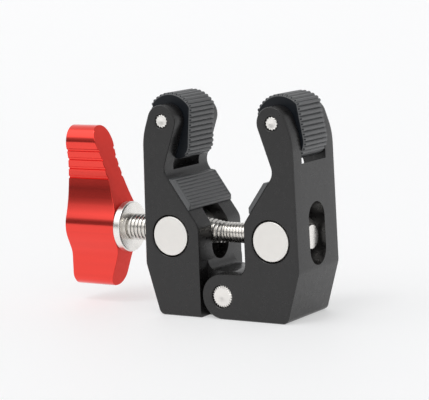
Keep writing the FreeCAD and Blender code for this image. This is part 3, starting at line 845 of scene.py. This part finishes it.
def run_down(piece, start, end, share):
    """Thin a stretch of thread smoothly towards a smaller one, to a share of its radius."""
    for vertex in piece.data.vertices:
        part = min(1.0, max(0.0, (vertex.co.x - start) / (end - start)))
        thin = 1 - (1 - share) * part * part * (3 - 2 * part)
        vertex.co.y = SCREW_AXIS.y + (vertex.co.y - SCREW_AXIS.y) * thin
        vertex.co.z = SCREW_AXIS.z + (vertex.co.z - SCREW_AXIS.z) * thin


def plain_rod(name, start, end, radius, edge):
    """A plain stretch of the screw with rounded rims."""
    piece = turned(name, [(start, 0, 0), (start, radius, edge), (end, radius, edge), (end, 0, 0)])
    round_by_normals(piece)
    return piece


class CLAMP_OT_screw(bpy.types.Operator):
    """The stepped screw, with a thread of each hand"""
    bl_idname = "clamp.screw"
    bl_label = "Screw"

    def execute(self, context):
        scene = context.scene
        sizes = scene.clamp_thread
        edge = sizes.edge
        start, collar = low_high("spindle", "X")[0], low_high("collar", "X")[1]
        neck = collar + sizes.neck_length
        step = middle("left_barrel").x + sizes.coarse_reach
        stop = low_high("end_stop", "X")[1] - sizes.stop_length
        coarse = thread(
            "coarse", neck - edge, step, sizes.coarse_radius, sizes.coarse_pitch, -1, sizes)
        run_down(coarse, step - sizes.run_down, step, sizes.run_radius / sizes.coarse_radius)
        piece = join([
            plain_rod("shank", start, neck, sizes.shank_radius, edge),
            plain_rod("neck", collar + edge, neck, sizes.neck_radius, edge),
            coarse,
            thread("fine", step - edge, stop, sizes.fine_radius, sizes.fine_pitch, 1, sizes),
        ], "screw_threads")
        paint(piece, rolled_steel("rolled_steel", scene.clamp_finishes.steel))
        attach(piece, "spindle", "screw")
        return {"FINISHED"}


class CLAMP_OT_cap_screw(bpy.types.Operator):
    """The socket screw in the handle's outer end"""
    bl_idname = "clamp.cap_screw"
    bl_label = "Cap screw"

    def execute(self, context):
        scene = context.scene
        sizes = scene.clamp_turning
        top, tail = low_high("handle_screw", "X")
        radius = half_reach("handle_screw", "Y")
        seat = top + sizes.head_length
        piece = turned("handle_cap_screw", [
            (top, 0, 0), (top, radius, sizes.rim), (seat, radius, 0),
            (seat, sizes.cap_radius, 0), (tail, sizes.cap_radius, sizes.edge), (tail, 0, 0),
        ])
        bore(piece, top - sizes.rim, top + sizes.key_depth, sizes.key_radius, sides=6)
        steel = turned_steel("cap_steel", scene.clamp_finishes.steel, SCREW_AXIS, "X")
        finish(piece, "handle_screw", "screw", steel)
        return {"FINISHED"}


class CLAMP_OT_collar(bpy.types.Operator):
    """The collar and the stop on the screw, turned and bevelled"""
    bl_idname = "clamp.collar"
    bl_label = "Collar and stop"

    def execute(self, context):
        scene = context.scene
        sizes = scene.clamp_turning
        edge, rim, stud = sizes.edge, sizes.rim, sizes.stud_radius
        back, front = low_high("collar", "X")
        radius = half_reach("collar", "Y")
        collar = turned("collar_disc", [
            (back, sizes.collar_bore, edge), (back, radius, rim),
            (front, radius, 2 * rim), (front, sizes.collar_bore, edge),
        ], steps=ROUND_STEPS, closed=True)
        tail, outer = low_high("end_stop", "X")
        radius = half_reach("end_stop", "Y")
        inner = outer - scene.clamp_thread.stop_length
        stop = turned("stop_disc", [
            (tail, 0, 0), (tail, stud, edge), (inner, stud, 0), (inner, radius, edge),
            (outer, radius, rim), (outer, 0, 0),
        ])
        steel = turned_steel("faced_steel", scene.clamp_finishes.steel, SCREW_AXIS, "X", roughness=0.26)
        finish(collar, "collar", "washer", steel)
        finish(stop, "end_stop", "screw", steel)
        return {"FINISHED"}


class CLAMP_OT_barrels(bpy.types.Operator):
    """The cross barrels, with faced ends and a bore for the screw"""
    bl_idname = "clamp.barrels"
    bl_label = "Barrels"

    def execute(self, context):
        scene = context.scene
        sizes = scene.clamp_turning
        drop, neck = sizes.end_drop, sizes.end_length
        for side, hole in (("right", sizes.fine_bore), ("left", sizes.coarse_bore)):
            node = side + "_barrel"
            centre, radius = middle(node), half_reach(node, "X")
            front, back = low_high(node, "Y")
            end = radius - drop
            piece = turned(node + "_rod", [
                (front, 0, 0), (front, end, sizes.rim), (front + neck, end, 0),
                (front + neck + drop, radius, 0), (back - neck - drop, radius, 0),
                (back - neck, end, 0), (back, end, sizes.rim), (back, 0, 0),
            ], (centre.x, 0, centre.z), "Y", ROUND_STEPS)
            bore(piece, centre.x - 2 * radius, centre.x + 2 * radius, hole)
            steel = turned_steel(
                side + "_faced_rod", scene.clamp_finishes.steel, centre, "Y",
                roughness=0.42, ring=0.3 * MM)
            finish(piece, node, side + "_nut", steel)
        return {"FINISHED"}


def knurled_pin(name, node, teeth, sizes):
    """A pin across the jaws whose rim is knurled and whose ends are slightly domed."""
    front, back = low_high(node, "Y")
    centre, radius = middle(node), half_reach(node, "X") - sizes.gap
    flat, rise = radius * sizes.dome_share, radius * sizes.dome_rise
    dimple, still = radius * sizes.dimple_share, flat * sizes.still_share
    piece = turned(name, [
        (front + sizes.rim, 0, 0), (front, dimple, 0), (front, still, 0), (front, flat, 0),
        (front + rise, radius, sizes.rim), (back - rise, radius, sizes.rim),
        (back, flat, 0), (back, still, 0), (back, dimple, 0), (back - sizes.rim, 0, 0),
    ], (centre.x, 0, centre.z), "Y", teeth * sizes.tooth_steps)
    for vertex in piece.data.vertices:
        across = vertex.co - centre
        if math.hypot(across.x, across.z) < (flat + radius) / 2:
            continue
        turn = math.atan2(across.z, across.x) * teeth
        part = 1 - sizes.tooth_share * (0.5 - 0.5 * math.cos(turn)) ** 2
        vertex.co.x = centre.x + across.x * part
        vertex.co.z = centre.z + across.z * part
    return piece


class CLAMP_OT_pins(bpy.types.Operator):
    """The hinge pin and both tip pins, with knurled ends"""
    bl_idname = "clamp.pins"
    bl_label = "Pins"

    def execute(self, context):
        scene = context.scene
        sizes = scene.clamp_pins
        for node, body, teeth in (
            ("hinge_pin", "fixed_side", sizes.hinge_teeth),
            ("right_tip_pin", "fixed_side", sizes.tip_teeth),
            ("left_tip_pin", "swinging_side", sizes.tip_teeth),
        ):
            piece = knurled_pin(node + "_knurled", node, teeth, sizes)
            steel = turned_steel(
                node + "_steel", scene.clamp_finishes.steel, middle(node), "Y")
            finish(piece, node, body, steel, sizes.crease)
        return {"FINISHED"}


def walk(corners, spacing):
    """Points at an even spacing round a rounded outline, each with its outward direction."""
    shape = rounded(corners, WALK_STEPS)
    lengths = [(shape[i] - shape[i - 1]).length for i in range(len(shape))]
    around = sum(lengths)
    count = round(around / spacing)
    points = []
    leg, walked = 0, 0.0
    for step in range(count):
        target = around * step / count
        while walked + lengths[(leg + 1) % len(shape)] < target:
            leg += 1
            walked += lengths[leg % len(shape)]
        start, stop = shape[leg % len(shape)], shape[(leg + 1) % len(shape)]
        along = (stop - start).normalized()
        points.append((start + along * (target - walked), Vector((-along.y, along.x))))
    return points


def rib_drop(step, depth, sizes):
    """How far a point of the walk lies under the tops of the round-backed ribs."""
    part = (step % sizes.rib_steps) / sizes.rib_steps
    return depth * abs(2 * part - 1) ** sizes.rib_power


def ribbed_block(name, corners, place, tilt, half_width, rims, pitch, steps, fall, height=0):
    """A rubber block with ribs across part of its outline.

    rims holds (distance from the side face, drop, with ribs) for each ring of points in
    from the side. fall(spot, drop, step) tells how far a point of the outline sinks, with
    no step in a ring that has no ribs. With a height, a block that stands on its base
    gets lower instead of smaller."""
    points = walk(corners, pitch / steps)
    turn = Matrix.Rotation(-tilt, 2)
    near = [(inset - half_width, drop, ribs) for inset, drop, ribs in rims]
    far = [(half_width - inset, drop, ribs) for inset, drop, ribs in reversed(rims)]
    rings = []
    for y, drop, ribs in near + far:
        ring = []
        for step, (spot, outward) in enumerate(points):
            sink = fall(spot, drop, step if ribs else None)
            if height:
                across = turn @ Vector((spot.x, spot.y * (1 - sink / height)))
            else:
                across = turn @ (spot - outward * sink)
            ring.append((place.x + across.x, y, place.z + across.y))
        rings.append(ring)
    return skin(name, rings)


def tip_outline(sizes, hand):
    """A tip pad seen from the front, about its pin: domed top, flanks and round foot."""
    half, crown, foot = sizes.pad_half, sizes.pad_crown, sizes.pad_foot
    left, right = sizes.toe_round, sizes.heel_round
    if hand < 0:
        left, right = right, left
    shoulder = math.sqrt(crown ** 2 - half ** 2) - sizes.pad_drop
    lean = math.atan2(half, shoulder + sizes.pad_drop)
    corners = [(-half, -foot, left), (-half, shoulder, sizes.shoulder_round)]
    for step in range(1, sizes.dome_steps):
        turn = lean * (2 * step / sizes.dome_steps - 1)
        corners.append((crown * math.sin(turn), crown * math.cos(turn) - sizes.pad_drop, 0))
    corners += [(half, shoulder, sizes.shoulder_round), (half, -foot, right)]
    return corners


class CLAMP_OT_tip_pads(bpy.types.Operator):
    """The swivelling pads at the jaws' tips"""
    bl_idname = "clamp.tip_pads"
    bl_label = "Tip pads"

    def execute(self, context):
        scene = context.scene
        sizes = scene.clamp_pads
        depth, rim = sizes.rib_depth, sizes.pad_rim
        ribs_from = sizes.smooth_foot - sizes.pad_foot
        rims = [(0, depth + rim, False), (rim, depth, False), (sizes.pad_border, 0, True)]

        def fall(spot, drop, step):
            """How far a point of the outline moves in: only by the rim below the ribs."""
            if spot.y <= ribs_from:
                return min(drop, rim)
            return drop if step is None else rib_drop(step, depth, sizes)

        rubber = pad_rubber("tip_rubber", scene.clamp_finishes.rubber)
        # The side faces get a darker rubber: partly their smoother skin, partly painted shade from the
        # fork ears beside them
        shaded_sides = pad_rubber("tip_sides_painted_shade", scene.clamp_finishes.side_skin_and_shade, gloss=0.25)
        for side, tilt, hand in (("right", sizes.right_tilt, 1), ("left", sizes.left_tilt, -1)):
            node = side + "_tip_pad"
            pin, half_width = middle(side + "_tip_pin"), half_reach(node, "Y")
            piece = ribbed_block(
                node + "_block", tip_outline(sizes, hand), pin, tilt, half_width, rims,
                sizes.rib_pitch, sizes.rib_steps, fall)
            cut_away(piece, turned("pin_bore", [
                (-2 * half_width, 0, 0), (-2 * half_width, sizes.pin_bore, 0),
                (2 * half_width, sizes.pin_bore, 0), (2 * half_width, 0, 0),
            ], (pin.x, 0, pin.z), "Y", PIN_BORE_STEPS))
            finish(piece, node, side + "_shoe", rubber, sizes.crease)
            paint_ends(piece, shaded_sides, "Y", sizes.side_facing)
        return {"FINISHED"}


class CLAMP_OT_seat_pads(bpy.types.Operator):
    """The ribbed pads on the jaws' sloping seats"""
    bl_idname = "clamp.seat_pads"
    bl_label = "Seat pads"

    def execute(self, context):
        scene = context.scene
        sizes = scene.clamp_pads
        half, height, end = sizes.seat_length / 2, sizes.seat_height, sizes.seat_end
        corners = [
            (-half, 0, 0), (-half, height - end, 0), (end - half, height, 0),
            (half - end, height, 0), (half, height - end, 0), (half, 0, 0),
        ]
        bevel, border = sizes.seat_bevel, sizes.seat_border
        rims = [
            (0, bevel, False), (bevel, 0, False), (border, 0, False),
            (border + sizes.seat_rise, 0, True),
        ]

        def fall(spot, drop, step):
            """How far a point of the outline sinks: the ribs lie on the top alone."""
            if step is None or spot.y <= height - end:
                return drop
            return rib_drop(step, sizes.seat_depth, sizes)

        rubber = pad_rubber("seat_rubber", scene.clamp_finishes.rubber)
        for side, body, hand in (("right", "fixed_side", -1), ("left", "swinging_side", 1)):
            node = side + "_vee_pad"
            tilt = hand * sizes.seat_angle
            turn = Matrix.Rotation(-tilt, 2)
            spots = [turn @ Vector(corner[:2]) for corner in corners]
            across, up = ((min(values) + max(values)) / 2 for values in zip(*spots))
            place = middle(node) - Vector((across, 0, up))
            piece = ribbed_block(
                node + "_sheet", corners, place, tilt, half_reach(node, "Y"), rims,
                sizes.seat_pitch, sizes.rib_steps, fall, height)
            finish(piece, node, body, rubber, sizes.crease)
        return {"FINISHED"}


# Stage

def sun(name, azimuth, elevation, strength, width):
    """A far light with no fall-off, wide enough for soft shadows."""
    data = bpy.data.lights.new(name, "SUN")
    data.energy = strength
    data.angle = width
    light = bpy.data.objects.new(name, data)
    light.rotation_euler = unit(azimuth, elevation).to_track_quat("Z", "Y").to_euler()
    bpy.context.scene.collection.objects.link(light)


def unit(azimuth, elevation):
    """The direction at an azimuth from the front and an elevation."""
    return Vector((
        math.sin(azimuth) * math.cos(elevation), -math.cos(azimuth) * math.cos(elevation),
        math.sin(elevation)))


def maths(tree, operation, *values):
    """A sum or a product of sockets and numbers."""
    node = add_node(tree, "Math")
    node.operation = operation
    for socket, value in zip(node.inputs, values):
        if isinstance(value, float):
            socket.default_value = value
        else:
            tree.links.new(value, socket)
    return node.outputs["Value"]


def ramp(tree, source, low, high):
    """0 below one value and 1 above the other."""
    fade = add_node(tree, "MapRange", From_Min=low, From_Max=high)
    fade.interpolation_type = "SMOOTHSTEP"
    tree.links.new(source, fade.inputs["Value"])
    return fade.outputs["Result"]


def lobe(tree, place, azimuth, elevation, inner, outer):
    """1 within an angle of a direction of the sky, fading to 0 at a wider angle."""
    near = add_node(tree, "VectorMath")
    near.operation = "DOT_PRODUCT"
    near.inputs[1].default_value = unit(azimuth, elevation)
    tree.links.new(place, near.inputs[0])
    return ramp(tree, near.outputs["Value"], math.cos(outer), math.cos(inner))


def studio_world(sizes):
    """White walls under a greyer ceiling, a dark strip of room and a soft box above it."""
    world = bpy.data.worlds.new("studio")
    world.use_nodes = True
    tree = world.node_tree
    background = tree.nodes["Background"]
    place = add_node(tree, "TexCoord").outputs["Generated"]
    parts = add_node(tree, "SeparateXYZ")
    tree.links.new(place, parts.inputs["Vector"])
    rise = parts.outputs["Z"]
    side = lobe(tree, place, sizes.room_side, 0.0, sizes.room_core, sizes.room_edge)
    low = ramp(tree, rise, 0.0, sizes.room_foot)
    high = ramp(tree, rise, math.sin(sizes.room_top), math.sin(sizes.room_top * sizes.room_fade))
    room = maths(tree, "MULTIPLY", maths(tree, "MULTIPLY", side, low), high)
    behind = lobe(
        tree, place, sizes.room_side + math.pi, sizes.wall_rise, sizes.wall_core, sizes.wall_edge)
    ceiling = ramp(tree, rise, math.sin(sizes.ceiling_foot), math.sin(sizes.ceiling_top))
    box = lobe(
        tree, place, sizes.box_side, sizes.box_rise, sizes.box_width * sizes.box_core,
        sizes.box_width)
    seen = sizes.sky
    for mask, change in (
        (room, sizes.room_dark - sizes.sky), (behind, sizes.back_wall - sizes.sky),
        (ceiling, sizes.ceiling - sizes.sky), (box, sizes.box_bright),
    ):
        seen = maths(tree, "ADD", seen, maths(tree, "MULTIPLY", mask, change))
    camera = add_node(tree, "LightPath").outputs["Is Camera Ray"]
    mix = add_node(tree, "Mix")
    tree.links.new(camera, mix.inputs["Factor"])
    tree.links.new(seen, mix.inputs["A"])
    mix.inputs["B"].default_value = sizes.backdrop
    tree.links.new(mix.outputs["Result"], background.inputs["Strength"])
    background.inputs["Color"].default_value = (*sizes.light_tint, 1)
    return world


def aim_camera(sizes):
    """The camera at the photograph's place, turn and lens."""
    back = unit(sizes.azimuth, sizes.elevation)
    right = Vector((math.cos(sizes.azimuth), math.sin(sizes.azimuth), 0))
    up = back.cross(right)
    lean_right = right * math.cos(sizes.roll) + up * math.sin(sizes.roll)
    lean_up = up * math.cos(sizes.roll) - right * math.sin(sizes.roll)
    turn = Matrix((lean_right, lean_up, back)).transposed().to_4x4()
    data = bpy.data.cameras.new("view")
    data.sensor_width = 36.0
    data.lens = data.sensor_width * sizes.focal_share
    data.clip_start = 0.01
    data.clip_end = 100.0
    camera = bpy.data.objects.new("view", data)
    camera.matrix_world = Matrix.Translation(Vector(sizes.target) + back * sizes.distance) @ turn
    bpy.context.scene.collection.objects.link(camera)
    bpy.context.scene.camera = camera


class CLAMP_OT_stage(bpy.types.Operator):
    """The pale floor, the soft light and the camera"""
    bl_idname = "clamp.stage"
    bl_label = "Stage"

    def execute(self, context):
        scene = context.scene
        sizes = scene.clamp_stage
        bpy.ops.object.select_all(action="DESELECT")
        bpy.ops.mesh.primitive_plane_add(
            size=sizes.floor_size, location=(0, 0, -sizes.floor_drop))
        floor = name_new("floor")
        settle(floor)
        paint(floor, plain_floor("pale_floor", scene.clamp_finishes.floor))
        scene.world = studio_world(sizes)
        sun("top_light", sizes.sun_side, sizes.sun_rise, sizes.sun_strength, sizes.sun_width)
        scene.view_settings.view_transform = "Standard"
        aim_camera(sizes)
        return {"FINISHED"}


# Add-on

class CLAMP_PT_panel(bpy.types.Panel):
    """The clamp's sizes, colours and steps in the sidebar"""
    bl_idname = "CLAMP_PT_panel"
    bl_label = "Screw clamp"
    bl_space_type = "VIEW_3D"
    bl_region_type = "UI"
    bl_category = "Clamp"

    def draw(self, context):
        scene = context.scene
        for holder in GROUPS:
            group = getattr(scene, holder)
            box = self.layout.box()
            for name in group.__annotations__:
                box.prop(group, name)
        for operator in STEPS:
            self.layout.operator(operator.bl_idname)


GROUPS = {
    "clamp_thread": ThreadSizes,
    "clamp_turning": TurningSizes,
    "clamp_pins": PinSizes,
    "clamp_pads": PadSizes,
    "clamp_handle": HandleSizes,
    "clamp_edges": EdgeSizes,
    "clamp_finishes": Finishes,
    "clamp_stage": StageSizes,
}
STEPS = (
    CLAMP_OT_stage,
    CLAMP_OT_jaws,
    CLAMP_OT_handle,
    CLAMP_OT_screw,
    CLAMP_OT_cap_screw,
    CLAMP_OT_collar,
    CLAMP_OT_barrels,
    CLAMP_OT_pins,
    CLAMP_OT_tip_pads,
    CLAMP_OT_seat_pads,
)


def register():
    """Make the sizes, the steps and the panel known to Blender."""
    for name, group in GROUPS.items():
        bpy.utils.register_class(group)
        setattr(bpy.types.Scene, name, PointerProperty(type=group))
    for operator in STEPS:
        bpy.utils.register_class(operator)
    bpy.utils.register_class(CLAMP_PT_panel)


def unregister():
    """Take them away again."""
    bpy.utils.unregister_class(CLAMP_PT_panel)
    for operator in reversed(STEPS):
        bpy.utils.unregister_class(operator)
    for name, group in GROUPS.items():
        delattr(bpy.types.Scene, name)
        bpy.utils.unregister_class(group)


def main():
    """Register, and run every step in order."""
    register()
    for step in STEPS:
        family, name = step.bl_idname.split(".")
        getattr(getattr(bpy.ops, family), name)()


if __name__ == "__main__":
    main()
